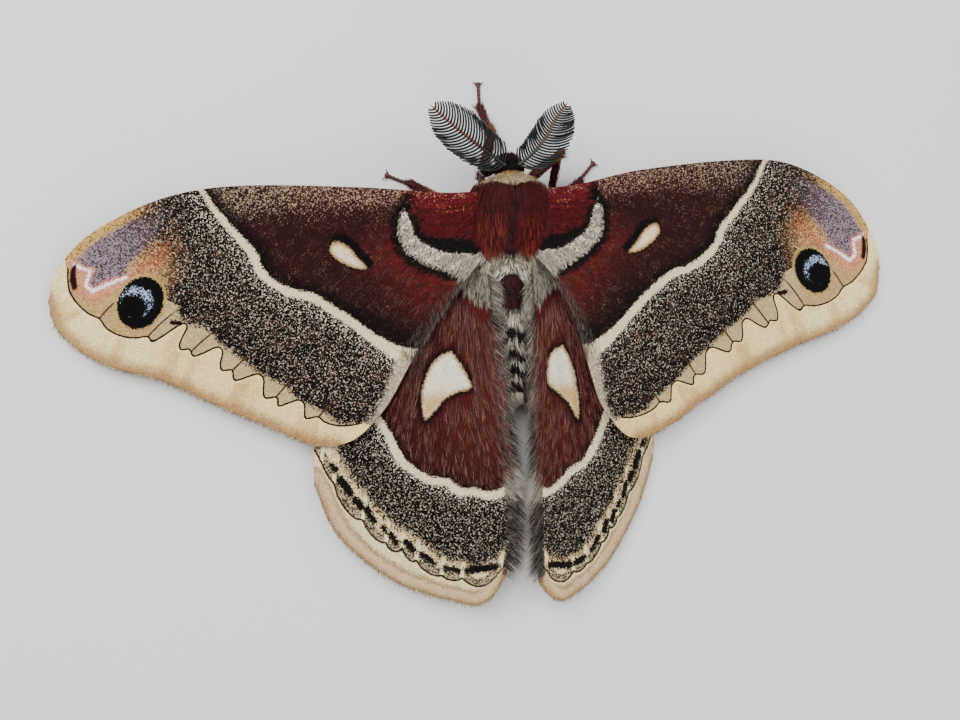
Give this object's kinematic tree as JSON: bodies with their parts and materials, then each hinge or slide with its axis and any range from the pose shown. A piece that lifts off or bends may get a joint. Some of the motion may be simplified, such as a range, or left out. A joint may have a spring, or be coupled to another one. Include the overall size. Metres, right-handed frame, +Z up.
{
  "type": "glovers silkmoth",
  "caption": "Life-size still silkmoth with spread patterned wings, furry body, feather-like feelers and six legs, standing on its feet.",
  "frame": {"origin": "on the floor below the middle of the whole moth's box", "axes": "+X to the moth's right along the wingspan, +Y along the body towards the head, +Z up"},
  "size_m": [0.1208, 0.0756, 0.0131],
  "materials": {
    "wing_scales": "matt overlapping scales",
    "body_fur": "long soft hair",
    "pale_fur": "dense pale hair",
    "feeler_horn": "matt horny shaft and rays",
    "leg_scales": "short flat scales",
    "eye_lens": "glossy faceted eye"
  },
  "bodies": {
    "root": {"abdomen": "pale_fur", "antenna_left": "feeler_horn", "antenna_right": "feeler_horn", "eye_left": "eye_lens", "eye_right": "eye_lens", "foreleg_left": "leg_scales", "foreleg_right": "leg_scales", "forewing_left": "wing_scales", "forewing_right": "wing_scales", "head": "pale_fur", "hindleg_left": "leg_scales", "hindleg_right": "leg_scales", "hindwing_left": "wing_scales", "hindwing_right": "wing_scales", "midleg_left": "leg_scales", "midleg_right": "leg_scales", "thorax": "body_fur"}
  },
  "joints": []
}
